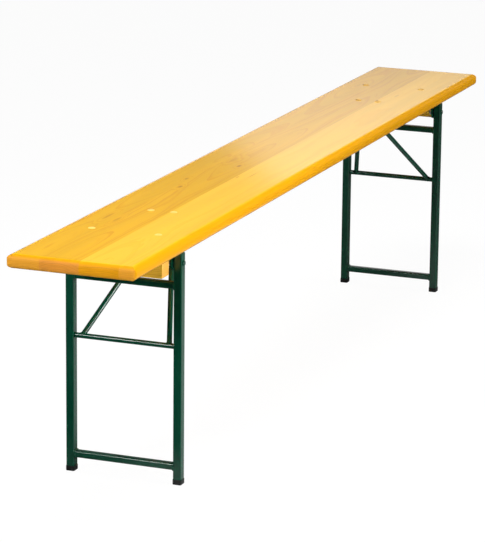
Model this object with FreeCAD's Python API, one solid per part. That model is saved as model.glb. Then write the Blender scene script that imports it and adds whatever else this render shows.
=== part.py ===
import FreeCAD, Part
import math
import os

# Folding bench: a glued pine seat board on two steel leg frames that fold in under it.
# Millimetres. X runs along the bench, Y across it, Z up. The origin lies on the floor
# under the middle of the seat. Left is the -X end, right the +X end, front the -Y side.

V = FreeCAD.Vector

# Seat board
seat_length = 2000.0
seat_width = 250.0
seat_thickness = 27.0
seat_height = 468.0
long_edge_radius = 13.0
end_edge_radius = 11.0
plan_corner_radius = 7.0
glue_line_shares = (0.26, 0.565, 0.87)

# Cross battens outboard of the leg frames
batten_depth = 31.0
batten_height = 40.0
batten_end_setback = 28.5
batten_gap = 14.5
batten_chamfer = 1.5
batten_screw_spacing = 70.0
batten_screw_count = 3
screw_diameter = 4.5
screw_head_diameter = 9.0
screw_bite = 16.0
screw_tip = 5.0

# Leg frames of rectangular tube
frame_inset = 239.0
frame_setback = 9.3
pivot_drop = 21.0
upright_across = 16.0
upright_along = 18.0
tube_wall = 1.5
tube_corner_radius = 2.5
upright_top_clearance = 0.6
rail_depth = 16.0
rail_height = 13.0
rail_corner_radius = 3.5
upper_rail_drop = 36.0
lower_rail_rise = 26.6

# Black plastic foot caps
cap_height = 9.5
cap_floor = 3.0
cap_wall = 0.8
cap_edge_radius = 1.2

# Hinge straps under the seat, with an ear at each end
strap_width = 30.0
strap_thickness = 3.0
strap_bend_radius = 3.5
strap_bolt_glue_gap = 6.0
pivot_diameter = 8.0
pivot_head_diameter = 11.0
pivot_head_height = 2.6
pivot_nut_flats = 13.0
pivot_nut_height = 6.0
washer_diameter = 16.0
washer_thickness = 1.0

# Braces: an axle rod with a bent bow welded to it
axle_drop = 158.0
axle_diameter = 10.0
bow_diameter = 10.0
bow_bend_radius = 11.0
bow_head_width = 31.4
bow_foot_setbacks = {-1: 11.2, 1: 14.2}
brace_reach = 186.5
folded_clearance = 0.5

# Catches under the seat that hold the braces
catch_plate_thickness = 2.0
catch_plate_width = 66.0
catch_plate_outboard = 36.0
catch_plate_inboard = 11.0
catch_plate_corner = 5.0
catch_bolt_spacing = 46.0
catch_bolt_offset = 12.0
spring_thickness = 1.2
spring_width = 13.0
spring_cup_clearance = 0.3
spring_hook_radius = 1.6
spring_finger = 13.0
spring_root_end = 34.0
spring_rivet_offset = 28.0
spring_rivet_diameter = 4.0
spring_rivet_head_diameter = 7.5
spring_rivet_head_height = 1.5

# Seat bolts with low round heads, and their nuts
bolt_diameter = 6.0
bolt_head_diameter = 14.0
bolt_head_height = 2.6
bolt_head_sink = 1.6
bolt_nut_flats = 10.0
bolt_nut_height = 5.0
bolt_tail = 2.0

# Clearances
running_clearance = 0.06
fixed_clearance = 0.05
wood_hole_clearance = 0.1
side_clearance = 0.15
bar_clearance = 0.5

# Derived places
seat_bottom = seat_height - seat_thickness
pivot_x = seat_length / 2 - frame_inset
pivot_z = seat_bottom - pivot_drop
upright_outer_y = seat_width / 2 - frame_setback
upright_inner_y = upright_outer_y - upright_across
upright_centre_y = (upright_outer_y + upright_inner_y) / 2
axle_z = pivot_z - axle_drop
ear_outer_y = upright_inner_y - washer_thickness - 2 * side_clearance
ear_inner_y = ear_outer_y - strap_thickness
bar_x = pivot_x - brace_reach
bar_z = seat_bottom - catch_plate_thickness - bar_clearance - bow_diameter / 2
batten_inner_x = pivot_x + upright_along / 2 + batten_gap
catch_bolt_x = bar_x + catch_bolt_offset
strap_bolt_y = (0.5 - glue_line_shares[0]) * seat_width + strap_bolt_glue_gap
big = seat_length + seat_width


def box(x0, x1, y0, y1, z0, z1):
    """A box between two corners."""
    return Part.makeBox(x1 - x0, y1 - y0, z1 - z0, V(x0, y0, z0))


def rod(radius, start, end):
    """A round bar from one point to another."""
    along = V(*end) - V(*start)
    return Part.makeCylinder(radius, along.Length, V(*start), along)


def outline(width, height, radius):
    """A rectangle with round corners, centred on the origin of the XY plane."""
    a = width / 2
    b = height / 2
    edges = []
    corners = ((a, b, 0), (-a, b, 90), (-a, -b, 180), (a, -b, 270))
    arcs = []
    for x, y, start in corners:
        centre = V(x - math.copysign(radius, x), y - math.copysign(radius, y), 0)
        arcs.append(Part.makeCircle(radius, centre, V(0, 0, 1), start, start + 90))
    for arc, following in zip(arcs, arcs[1:] + arcs[:1]):
        edges.append(arc)
        edges.append(Part.makeLine(arc.valueAt(arc.LastParameter), following.valueAt(following.FirstParameter)))
    return Part.Face(Part.Wire(edges))


def bar(width, height, radius, length, place):
    """A bar of rounded rectangular section; it runs along its own Z before it is placed."""
    solid = outline(width, height, radius).extrude(V(0, 0, length))
    solid.Placement = place
    return solid


def tube(width, height, radius, wall, length, place):
    """A hollow bar of rounded rectangular section."""
    inner_radius = max(radius - wall, radius / 5)
    hollow = bar(width - 2 * wall, height - 2 * wall, inner_radius, length, place)
    return bar(width, height, radius, length, place).cut(hollow)


def upward(x, y, z):
    """A place whose own Z stays upright."""
    return FreeCAD.Placement(V(x, y, z), FreeCAD.Rotation())


def sideways(x, y, z):
    """A place whose own Z points along +Y, its own X along +X."""
    return FreeCAD.Placement(V(x, y, z), FreeCAD.Rotation(V(1, 0, 0), -90))


def lengthways(x, y, z):
    """A place whose own Z points along +X, its own X along +Y."""
    axes = FreeCAD.Rotation(V(0, 1, 0), V(0, 0, 1), V(1, 0, 0), "XYZ")
    return FreeCAD.Placement(V(x, y, z), axes)


def bent_path(points, radii):
    """Straight runs through the points, with a tangent arc of the given radius at each turn."""
    points = [V(*p) for p in points]
    edges = []
    last = points[0]
    for before, corner, after, radius in zip(points, points[1:], points[2:], radii):
        back = (before - corner).normalize()
        on = (after - corner).normalize()
        half = back.getAngle(on) / 2
        reach = radius / math.tan(half)
        middle = (back + on).normalize()
        centre = corner + middle * (radius / math.sin(half))
        start = corner + back * reach
        end = corner + on * reach
        through = centre - middle * radius
        if (start - last).Length > 1e-6:
            edges.append(Part.makeLine(last, start))
        edges.append(Part.Arc(start, through, end).toShape())
        last = end
    edges.append(Part.makeLine(last, points[-1]))
    return Part.Wire(edges)


def bent_rod(points, radii, diameter):
    """A round bar bent along a path."""
    path = bent_path(points, radii)
    along = path.Edges[0].tangentAt(path.Edges[0].FirstParameter)
    ring = Part.Wire(Part.makeCircle(diameter / 2, V(*points[0]), along))
    return path.makePipeShell([ring], True, False)


def bent_strip(points, radii, thickness, width):
    """A strip of sheet bent along a path in the XZ plane, centred on Y = 0."""
    path = bent_path(points, radii)
    along = path.Edges[0].tangentAt(path.Edges[0].FirstParameter)
    across = along.cross(V(0, 1, 0)).normalize() * (thickness / 2)
    side = V(0, width / 2, 0)
    first = V(*points[0])
    ring = [first + across + side, first + across - side, first - across - side, first - across + side]
    return path.makePipeShell([Part.makePolygon(ring + ring[:1])], True, False)


def hexagon_nut(flats, height, bore_radius, base, along):
    """A hexagon nut with its bore, standing on its base point."""
    corner = flats / math.sqrt(3)
    place = FreeCAD.Placement(V(*base), FreeCAD.Rotation(V(0, 0, 1), V(*along)))
    angles = [math.radians(60 * k) for k in range(7)]
    points = [V(corner * math.cos(a), corner * math.sin(a), 0) for a in angles]
    nut = Part.Face(Part.makePolygon(points)).extrude(V(0, 0, height))
    nut = nut.common(Part.makeCone(flats / 2 + height, flats / 2, height))
    nut = nut.cut(Part.makeCylinder(bore_radius, height))
    nut.Placement = place
    return nut


def round_head(diameter, height, base, along, roundness=0.55):
    """A low round head: a disc whose outer edge is rounded over by a share of its height."""
    head = Part.makeCylinder(diameter / 2, height, V(*base), V(*along))
    rim = [e for e in head.Edges if e.Closed and (e.CenterOfMass - V(*base)).Length > height / 2]
    return head.makeFillet(height * roundness, rim)


def mirrored(solid):
    """The same solid at the other end of the bench."""
    return solid.mirror(V(0, 0, 0), V(1, 0, 0))


def group(solids):
    """Separate solids that share one node."""
    return Part.makeCompound(solids)


def seat_bolt_places():
    """X and Y of every seat bolt at the right-hand end, with the sheet that it clamps."""
    hinge = [(pivot_x, side * strap_bolt_y, strap_thickness) for side in (-1, 1)]
    catch = [(catch_bolt_x, side * catch_bolt_spacing / 2, catch_plate_thickness) for side in (-1, 1)]
    return {"hinge": hinge, "catch": catch}


def seat_bolt(x, y, sheet):
    """A bolt through the seat, with its head let into the top."""
    top = seat_height - bolt_head_sink
    bottom = seat_bottom - sheet - bolt_nut_height - bolt_tail
    shank = rod(bolt_diameter / 2, (x, y, bottom), (x, y, top + bolt_head_height / 2))
    return shank.fuse(round_head(bolt_head_diameter, bolt_head_height, (x, y, top), (0, 0, 1))).removeSplitter()


def seat_nut(x, y, sheet):
    """The nut that pulls a seat bolt up against its sheet."""
    base = (x, y, seat_bottom - sheet)
    return hexagon_nut(bolt_nut_flats, bolt_nut_height, bolt_diameter / 2 + fixed_clearance, base, (0, 0, -1))


def batten_screw_places():
    """X and Y of the screws in the right-hand batten."""
    x = batten_inner_x + batten_depth / 2
    first = -(batten_screw_count - 1) / 2
    return [(x, (first + k) * batten_screw_spacing) for k in range(batten_screw_count)]


def batten_screw(x, y, extra=0.0):
    """A countersunk wood screw driven up through the batten; extra swells it into its hole."""
    base = seat_bottom - batten_height
    tip = seat_bottom + screw_bite + extra
    radius = screw_diameter / 2 + extra
    head_radius = screw_head_diameter / 2 + extra
    head = Part.makeCone(head_radius, radius, head_radius - radius, V(x, y, base), V(0, 0, 1))
    shank = rod(radius, (x, y, base), (x, y, tip - screw_tip))
    point = Part.makeCone(radius, radius / 5, screw_tip, V(x, y, tip - screw_tip), V(0, 0, 1))
    return head.fuse(shank).fuse(point).removeSplitter()


def seat_staves():
    """The seat board's glued staves, cut from one rounded board."""
    middle = (seat_height + seat_bottom) / 2
    across = bar(seat_width, seat_thickness, long_edge_radius, seat_length, lengthways(-seat_length / 2, 0, middle))
    endways = bar(seat_length, seat_thickness, end_edge_radius, seat_width, sideways(0, -seat_width / 2, middle))
    plan = bar(seat_length, seat_width, plan_corner_radius, seat_thickness, upward(0, 0, seat_bottom))
    board = across.common(endways).common(plan)
    tools = []
    for places in seat_bolt_places().values():
        for x, y, sheet in places:
            hole = rod(bolt_diameter / 2 + wood_hole_clearance, (x, y, seat_bottom - 1), (x, y, seat_height + 1))
            seat = rod(
                bolt_head_diameter / 2 + wood_hole_clearance, (x, y, seat_height - bolt_head_sink), (x, y, seat_height + 1)
            )
            tools += [hole, seat]
    tools += [batten_screw(x, y, wood_hole_clearance) for x, y in batten_screw_places()]
    tools += [mirrored(tool) for tool in tools]
    board = board.cut(Part.makeCompound(tools))
    lines = [0.0, *glue_line_shares, 1.0]
    names = ("seat_stave_rear", "seat_stave_rear_middle", "seat_stave_front_middle", "seat_stave_front")
    staves = {}
    for name, near, far in zip(names, lines, lines[1:]):
        y1 = seat_width / 2 - near * seat_width
        y0 = seat_width / 2 - far * seat_width
        slab = box(-big, big, y0, y1, seat_bottom - 1, seat_height + 1)
        staves[name] = board.common(slab)
    return staves


def batten():
    """The wooden batten screwed across the underside, outboard of the legs."""
    half = seat_width / 2 - batten_end_setback
    outer_x = batten_inner_x + batten_depth
    solid = box(batten_inner_x, outer_x, -half, half, seat_bottom - batten_height, seat_bottom)
    low = [e for e in solid.Edges if e.BoundBox.ZMax < seat_bottom - batten_height / 2]
    solid = solid.makeChamfer(batten_chamfer, low)
    for x, y in batten_screw_places():
        solid = solid.cut(batten_screw(x, y, wood_hole_clearance))
    return solid


def upright(side):
    """One upright of the right-hand frame; side is -1 at the front and 1 at the rear."""
    top = pivot_drop - upright_top_clearance
    y = side * upright_centre_y
    length = pivot_z + top - cap_floor
    solid = tube(
        upright_along, upright_across, tube_corner_radius, tube_wall, length, upward(pivot_x, y, cap_floor)
    )
    crown = rod(top, (pivot_x, -big, pivot_z), (pivot_x, big, pivot_z))
    below = box(pivot_x - upright_along, pivot_x + upright_along, -big, big, 0, pivot_z)
    solid = solid.common(crown.fuse(below))
    hole = rod(pivot_diameter / 2 + running_clearance, (pivot_x, -big, pivot_z), (pivot_x, big, pivot_z))
    inner_wall = upright_inner_y + tube_wall * 1.5
    axle_hole = rod(axle_diameter / 2 + running_clearance, (pivot_x, 0, axle_z), (pivot_x, side * inner_wall, axle_z))
    return solid.cut(hole).cut(axle_hole)


def rail(bottom):
    """A cross rail welded between the uprights of the right-hand frame."""
    place = sideways(pivot_x, -upright_inner_y, bottom + rail_height / 2)
    return tube(rail_depth, rail_height, rail_corner_radius, tube_wall, 2 * upright_inner_y, place)


def foot_cap(side):
    """A plastic cap that the foot of an upright stands in."""
    y = side * upright_centre_y
    outer = (upright_along + 2 * cap_wall, upright_across + 2 * cap_wall, tube_corner_radius + cap_wall)
    solid = bar(*outer, cap_height, upward(pivot_x, y, 0))
    rim = [e for e in solid.Edges if e.BoundBox.ZMax < cap_edge_radius]
    solid = solid.makeFillet(cap_edge_radius, rim)
    grow = 2 * fixed_clearance
    inner = (upright_along + grow, upright_across + grow, tube_corner_radius + fixed_clearance)
    return solid.cut(bar(*inner, cap_height, upward(pivot_x, y, cap_floor)))


def hinge_strap():
    """The steel strap under the seat; its ends turn down into ears for the pivot bolts."""
    centre = strap_thickness / 2
    reach = ear_outer_y - centre
    level = seat_bottom - centre
    foot = pivot_z - strap_width / 2
    points = [(reach, 0, foot), (reach, 0, level), (-reach, 0, level), (-reach, 0, foot)]
    strip = bent_strip(points, [strap_bend_radius] * 2, strap_thickness, strap_width)
    strip.rotate(V(0, 0, 0), V(0, 0, 1), 90)
    strip.translate(V(pivot_x, 0, 0))
    ends = rod(strap_width / 2, (pivot_x, -big, pivot_z), (pivot_x, big, pivot_z))
    strip = strip.common(ends.fuse(box(0, big, -big, big, pivot_z, seat_height)))
    strip = strip.cut(rod(pivot_diameter / 2 + fixed_clearance, (pivot_x, -big, pivot_z), (pivot_x, big, pivot_z)))
    for x, y, sheet in seat_bolt_places()["hinge"]:
        hole = rod(bolt_diameter / 2 + fixed_clearance, (x, y, seat_bottom - 2 * sheet), (x, y, seat_bottom + 1))
        strip = strip.cut(hole)
    return strip


def pivot_bolt(side):
    """The bolt that an upright turns on, held in the strap's ear by its nut."""
    head_y = upright_outer_y + side_clearance
    end_y = ear_inner_y - pivot_nut_height - bolt_tail
    shank = rod(pivot_diameter / 2, (pivot_x, side * end_y, pivot_z), (pivot_x, side * (head_y + 1), pivot_z))
    head = round_head(pivot_head_diameter, pivot_head_height, (pivot_x, side * head_y, pivot_z), (0, side, 0), 0.9)
    return shank.fuse(head).removeSplitter()


def pivot_nut(side):
    """The nut on the inner side of the strap's ear."""
    base = (pivot_x, side * ear_inner_y, pivot_z)
    return hexagon_nut(pivot_nut_flats, pivot_nut_height, pivot_diameter / 2 + fixed_clearance, base, (0, -side, 0))


def pivot_washer(side):
    """The thin washer between the ear and the upright."""
    y0 = side * (ear_outer_y + side_clearance)
    y1 = y0 + side * washer_thickness
    disc = rod(washer_diameter / 2, (pivot_x, y0, pivot_z), (pivot_x, y1, pivot_z))
    return disc.cut(rod(pivot_diameter / 2 + fixed_clearance, (pivot_x, -big, pivot_z), (pivot_x, big, pivot_z)))


def brace_axle():
    """The round rod that turns in the inner walls of both uprights."""
    reach = upright_outer_y - tube_wall - side_clearance
    return rod(axle_diameter / 2, (pivot_x, -reach, axle_z), (pivot_x, reach, axle_z))


def brace_bow():
    """The bent bow of the brace, coped onto the axle rod at both feet."""
    head = bow_head_width / 2
    points = []
    for side, setback in bow_foot_setbacks.items():
        arm = [(pivot_x, side * (upright_inner_y - setback), axle_z), (bar_x, side * head, bar_z)]
        points += arm if side < 0 else arm[::-1]
    bow = bent_rod(points, [bow_bend_radius] * 2, bow_diameter)
    return bow.cut(rod(axle_diameter / 2, (pivot_x, -big, axle_z), (pivot_x, big, axle_z)))


def catch_plate():
    """The sheet plate that backs the catch, bolted flat to the underside."""
    x0 = bar_x - catch_plate_inboard
    x1 = bar_x + catch_plate_outboard
    place = upward((x0 + x1) / 2, 0, seat_bottom - catch_plate_thickness)
    solid = bar(x1 - x0, catch_plate_width, catch_plate_corner, catch_plate_thickness, place)
    for x, y, sheet in seat_bolt_places()["catch"]:
        solid = solid.cut(rod(bolt_diameter / 2 + fixed_clearance, (x, y, seat_bottom - 2 * sheet), (x, y, seat_bottom)))
    return solid.cut(spring_rivet(fixed_clearance))


def spring_rivet(extra=0.0):
    """The rivet that ties the spring to its plate; extra swells it into its hole."""
    x = bar_x + spring_rivet_offset
    under = seat_bottom - catch_plate_thickness - spring_thickness
    shank = rod(spring_rivet_diameter / 2 + extra, (x, 0, under), (x, 0, seat_bottom))
    head = round_head(spring_rivet_head_diameter, spring_rivet_head_height, (x, 0, under), (0, 0, -1))
    return shank.fuse(head).removeSplitter()


def catch_spring():
    """The leaf spring whose cup hooks round the bow's head, with a finger to press."""
    cup = bow_diameter / 2 + spring_cup_clearance + spring_thickness / 2
    level = seat_bottom - catch_plate_thickness - spring_thickness / 2 - bar_z
    lean = math.radians(60)
    low = cup * math.tan(lean / 2)
    rise = low + spring_hook_radius
    crest = (-low - rise * math.cos(lean), -cup + rise * math.sin(lean))
    tip = (crest[0] - spring_finger * math.sin(lean), crest[1] - spring_finger * math.cos(lean))
    bends = [(spring_root_end, level), (cup, level), (cup, -cup), (-low, -cup), crest, tip]
    points = [(bar_x + x, 0, bar_z + z) for x, z in bends]
    radii = [spring_thickness, cup, cup, spring_hook_radius]
    leaf = bent_strip(points, radii, spring_thickness, spring_width)
    return leaf.cut(spring_rivet(fixed_clearance))


def save(name, shape):
    """Write one node's solids."""
    shape.exportStep("parts/" + name + ".step")
    volumes = [solid.Volume for solid in shape.Solids]
    print(name, len(volumes), "solids", round(sum(volumes), 1), "valid" if shape.isValid() else "NOT VALID")


def build():
    """Make every node and write it."""
    os.makedirs("parts", exist_ok=True)
    for name, solid in seat_staves().items():
        save(name, solid)
    bolts = seat_bolt_places()
    sides = {"front": -1, "rear": 1}
    right_hand = {
        "batten": batten(),
        "batten_screws": group([batten_screw(x, y) for x, y in batten_screw_places()]),
        "hinge_strap": hinge_strap(),
        "hinge_strap_bolts": group([seat_bolt(*place) for place in bolts["hinge"]]),
        "hinge_strap_nuts": group([seat_nut(*place) for place in bolts["hinge"]]),
        "pivot_bolts": group([pivot_bolt(side) for side in sides.values()]),
        "pivot_nuts": group([pivot_nut(side) for side in sides.values()]),
        "pivot_washers": group([pivot_washer(side) for side in sides.values()]),
        "upper_rail": rail(pivot_z - upper_rail_drop - rail_height),
        "lower_rail": rail(lower_rail_rise),
        "brace_axle": brace_axle(),
        "brace_bow": brace_bow(),
        "catch_plate": catch_plate(),
        "catch_bolts": group([seat_bolt(*place) for place in bolts["catch"]]),
        "catch_nuts": group([seat_nut(*place) for place in bolts["catch"]]),
        "catch_spring": catch_spring(),
        "catch_spring_rivet": spring_rivet(),
    }
    for name, side in sides.items():
        right_hand["upright_" + name] = upright(side)
        right_hand["foot_cap_" + name] = foot_cap(side)
    for name, solid in right_hand.items():
        save(name + "_right", solid)
        save(name + "_left", mirrored(solid))


def report_motion():
    """Print the brace's angles and the turn that it makes while its leg folds."""
    rise = bar_z - axle_z
    length = math.hypot(brace_reach, rise)
    standing = math.degrees(math.atan2(rise, brace_reach))
    to_rail = axle_z - lower_rail_rise - rail_height
    lift = rail_depth / 2 + bow_diameter / 2 + folded_clearance
    folded = math.degrees(math.asin(lift / to_rail))
    turn = standing - folded + 90
    print("bow length", round(length, 2), "standing", round(standing, 3), "folded", round(folded, 3))
    print("brace turn", round(turn, 3), "ratio", round(turn / 90, 5))
    print("pivot", pivot_x, pivot_z, "axle z", axle_z, "bar", bar_x, bar_z)


build()
report_motion()
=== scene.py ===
"""Folding bench: a glued pine seat on two green steel leg frames that fold in under it.

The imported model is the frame. Its nodes keep their shape and get their finishes here, apart from
the seat bolts, the batten screws and the foot caps, which are modelled anew, and weld beads are
added where the steel parts meet. Metres throughout; X runs along the bench, Y across it and Z up,
with the left end at -X and the front side at -Y.
"""

import logging
import math
from collections.abc import Iterable, Sequence
from dataclasses import dataclass
from enum import Enum

import bmesh
import bpy
from mathutils import Matrix, Vector

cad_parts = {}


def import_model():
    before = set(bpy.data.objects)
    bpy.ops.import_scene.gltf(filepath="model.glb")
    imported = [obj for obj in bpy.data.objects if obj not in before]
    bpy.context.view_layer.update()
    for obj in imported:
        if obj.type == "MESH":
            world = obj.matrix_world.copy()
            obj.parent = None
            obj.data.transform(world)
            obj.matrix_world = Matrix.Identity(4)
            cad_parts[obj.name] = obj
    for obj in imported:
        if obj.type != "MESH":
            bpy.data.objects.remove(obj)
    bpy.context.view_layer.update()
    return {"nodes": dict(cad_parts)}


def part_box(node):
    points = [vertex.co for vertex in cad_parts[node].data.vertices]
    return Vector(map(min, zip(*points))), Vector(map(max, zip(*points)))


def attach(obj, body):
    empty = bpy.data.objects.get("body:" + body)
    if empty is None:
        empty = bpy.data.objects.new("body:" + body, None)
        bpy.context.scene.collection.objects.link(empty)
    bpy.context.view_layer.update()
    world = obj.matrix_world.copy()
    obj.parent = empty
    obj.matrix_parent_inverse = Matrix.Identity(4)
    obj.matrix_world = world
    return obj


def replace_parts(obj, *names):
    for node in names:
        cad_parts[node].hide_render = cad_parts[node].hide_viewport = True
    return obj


Colour = tuple[float, float, float]
Point = tuple[float, float, float]
Settings = dict[str, object] | None
Sockets = dict[str | int, object] | None

LOG = logging.getLogger("folding_bench")
ENDS = {"left": -1, "right": 1}
SIDES = {"front": -1, "rear": 1}
WHITE: Colour = (1.0, 1.0, 1.0)
MERGE_DISTANCE = 1e-6
FACING = 0.99  # a face points along an axis when its normal has this much of it


def tone(red: int, green: int, blue: int) -> Colour:
    """Give the linear colour of a screen colour.

    Args:
        red: Red, 0 to 255.
        green: Green, 0 to 255.
        blue: Blue, 0 to 255.

    Returns:
        The same colour as three linear numbers.
    """

    def linear(channel: int) -> float:
        """Undo the screen curve of one channel."""
        share = channel / 255
        return share / 12.92 if share <= 0.04045 else ((share + 0.055) / 1.055) ** 2.4

    return linear(red), linear(green), linear(blue)


def darker(colour: Colour, share: float) -> Colour:
    """Give a share of a colour."""
    return tuple(part * share for part in colour)


# ---------------------------------------------------------------- shader expressions


class Wire:
    """A shader socket that takes part in Python arithmetic."""

    def __init__(self, graph: "Graph", socket: bpy.types.NodeSocket) -> None:
        """Wrap an output socket of a graph."""
        self.graph = graph
        self.socket = socket

    def __add__(self, other: "Wire | float") -> "Wire":
        """Add."""
        return self.graph.maths("ADD", self, other)

    def __radd__(self, other: "Wire | float") -> "Wire":
        """Add, with the number first."""
        return self.graph.maths("ADD", other, self)

    def __sub__(self, other: "Wire | float") -> "Wire":
        """Subtract."""
        return self.graph.maths("SUBTRACT", self, other)

    def __rsub__(self, other: "Wire | float") -> "Wire":
        """Subtract from a number."""
        return self.graph.maths("SUBTRACT", other, self)

    def __mul__(self, other: "Wire | float") -> "Wire":
        """Multiply."""
        return self.graph.maths("MULTIPLY", self, other)

    def __rmul__(self, other: "Wire | float") -> "Wire":
        """Multiply, with the number first."""
        return self.graph.maths("MULTIPLY", other, self)

    def __truediv__(self, other: "Wire | float") -> "Wire":
        """Divide."""
        return self.graph.maths("DIVIDE", self, other)

    def __rtruediv__(self, other: "Wire | float") -> "Wire":
        """Divide a number by this."""
        return self.graph.maths("DIVIDE", other, self)

    def __pow__(self, other: "Wire | float") -> "Wire":
        """Raise to a power."""
        return self.graph.maths("POWER", self, other)

    def __rpow__(self, other: "Wire | float") -> "Wire":
        """Raise a number to this power."""
        return self.graph.maths("POWER", other, self)


class Graph:
    """A node tree that is built from expressions."""

    def __init__(self, tree: bpy.types.NodeTree) -> None:
        """Empty a node tree and start on it."""
        tree.nodes.clear()
        self.tree = tree

    def node(
        self, kind: str, settings: Settings = None, sockets: Sockets = None
    ) -> bpy.types.Node:
        """Add a node; its settings are made before its sockets.

        Args:
            kind: The node's type.
            settings: Its properties by name; "stops" holds a ramp's (position, grey) pairs.
            sockets: Values or wires by the input's name or number.

        Returns:
            The new node.
        """
        node = self.tree.nodes.new(kind)
        for name, value in (settings or {}).items():
            if name == "stops":
                self._set_stops(node.color_ramp, value)
            else:
                setattr(node, name, value)
        for name, value in (sockets or {}).items():
            self._feed(node.inputs[name], value)
        return node

    def wire(
        self, kind: str, settings: Settings = None, sockets: Sockets = None, output: str | int = 0
    ) -> Wire:
        """Add a node and give one of its outputs.

        Args:
            kind: The node's type.
            settings: Its properties by name.
            sockets: Values or wires by the input's name or number.
            output: The output's name or number.

        Returns:
            That output.
        """
        return Wire(self, self.node(kind, settings, sockets).outputs[output])

    @staticmethod
    def _set_stops(ramp: bpy.types.ColorRamp, stops: Sequence[tuple[float, float]]) -> None:
        """Give a ramp its greys.

        Args:
            ramp: The ramp, with two stops of its own.
            stops: Position and grey of each stop, two or more.
        """
        while len(ramp.elements) < len(stops):
            ramp.elements.new(1.0)
        for element, (position, grey) in zip(ramp.elements, stops):
            element.position = position
            element.color = (grey, grey, grey, 1.0)

    def _feed(self, socket: bpy.types.NodeSocket, value: object) -> None:
        """Set a socket to a value, or link a wire to it.

        Args:
            socket: The input socket.
            value: A wire, a number, a point or a colour without its alpha.
        """
        if isinstance(value, Wire):
            self.tree.links.new(value.socket, socket)
        elif isinstance(value, tuple) and socket.type == "RGBA":
            socket.default_value = (*value, 1.0)
        else:
            socket.default_value = value

    def maths(self, operation: str, *values: "Wire | float") -> Wire:
        """Work out numbers.

        Args:
            operation: The Math node's operation.
            *values: Its inputs in order.

        Returns:
            The result.
        """
        return self.wire("ShaderNodeMath", {"operation": operation}, dict(enumerate(values)))

    def vector(self, operation: str, sockets: Sockets) -> Wire:
        """Work out a vector or colour.

        Args:
            operation: The Vector Math node's operation.
            sockets: Values or wires by the input's name or number.

        Returns:
            The result.
        """
        return self.wire("ShaderNodeVectorMath", {"operation": operation}, sockets)

    def mix(self, share: Wire | float, first: Wire | Colour, second: Wire | Colour) -> Wire:
        """Mix two colours.

        Args:
            share: How much of the second, 0 to 1.
            first: The first colour.
            second: The second colour.

        Returns:
            The mixed colour.
        """
        settings = {"data_type": "RGBA", "blend_type": "MIX", "clamp_factor": True}
        return self.wire("ShaderNodeMix", settings, {0: share, 6: first, 7: second}, 2)

    def step(
        self, value: Wire, low: float, high: float, to_low: float = 0.0, to_high: float = 1.0
    ) -> Wire:
        """Go smoothly from one number to another as a value passes between two limits.

        Args:
            value: The value that is read.
            low: The first limit.
            high: The second limit.
            to_low: The result at the first limit.
            to_high: The result at the second limit.

        Returns:
            The smooth step.
        """
        sockets = {
            "Value": value, "From Min": low, "From Max": high, "To Min": to_low, "To Max": to_high,
        }
        return self.wire("ShaderNodeMapRange", {"interpolation_type": "SMOOTHSTEP"}, sockets)

    def noise(
        self, place: Wire, waves: Point | float, detail: float = 2.0, output: str = "Fac"
    ) -> Wire:
        """Noise over a place, with its own scale along each axis.

        Args:
            place: The place that is read.
            waves: Waves per metre, along X, Y and Z or alike along all three.
            detail: The number of finer layers.
            output: "Fac" for a number, "Color" for three.

        Returns:
            The noise, 0 to 1.
        """
        stretch = waves if isinstance(waves, tuple) else (waves, waves, waves)
        scaled = self.vector("MULTIPLY", {0: place, 1: stretch})
        sockets = {"Vector": scaled, "Scale": 1.0, "Detail": detail}
        return self.wire("ShaderNodeTexNoise", None, sockets, output)

    def place(self) -> Wire:
        """The place on the object, in metres."""
        return self.wire("ShaderNodeTexCoord", output="Object")

    def facing(self) -> Wire:
        """The way that the surface faces, on the object's own axes."""
        return self.wire("ShaderNodeTexCoord", output="Normal")

    def split(self, vector: Wire) -> tuple[Wire, Wire, Wire]:
        """Take a vector or colour apart.

        Args:
            vector: The vector or colour.

        Returns:
            Its three numbers.
        """
        node = self.node("ShaderNodeSeparateXYZ", None, {"Vector": vector})
        return tuple(Wire(self, socket) for socket in node.outputs)

    def bump(self, height: Wire, depth: float, strength: float) -> Wire:
        """Turn a height into a normal.

        Args:
            height: The height, 0 to 1.
            depth: The depth of the relief in metres.
            strength: How much of it shows.

        Returns:
            The normal.
        """
        sockets = {"Height": height, "Distance": depth, "Strength": strength}
        return self.wire("ShaderNodeBump", None, sockets, "Normal")

    def close(self, surface: Wire, kind: str = "Material") -> None:
        """End the tree in its output.

        Args:
            surface: The shader that the output shows.
            kind: "Material" or "World".
        """
        self.node(f"ShaderNodeOutput{kind}", None, {"Surface": surface})

    def surface(self, sockets: Sockets) -> None:
        """Close the tree with a Principled surface.

        Args:
            sockets: Its inputs by name.
        """
        self.close(self.wire("ShaderNodeBsdfPrincipled", None, sockets))


def new_graph(name: str) -> tuple[bpy.types.Material, Graph]:
    """Start a material.

    Args:
        name: The material's name.

    Returns:
        The material and its empty graph.
    """
    material = bpy.data.materials.new(name)
    material.use_nodes = True
    return material, Graph(material.node_tree)


# ---------------------------------------------------------------- finishes


class Grain(Enum):
    """The way that a board's fibres run."""

    ALONG_BENCH = "along"
    ACROSS_BENCH = "across"


@dataclass(frozen=True)
class Knot:
    """A small knot: where it lies on the board, its half length and half width, and its shade."""

    along: float
    across: float
    half_length: float
    half_width: float
    darkness: float


@dataclass(frozen=True)
class PineTint:
    """One lot of pine's colours: early and late wood, and upright faces' painted light and shade.
    """

    early: Colour
    late: Colour
    # edge: painted light and shade for the upright faces, darker on the staves, brighter on the
    # battens
    edge: Colour


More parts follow.
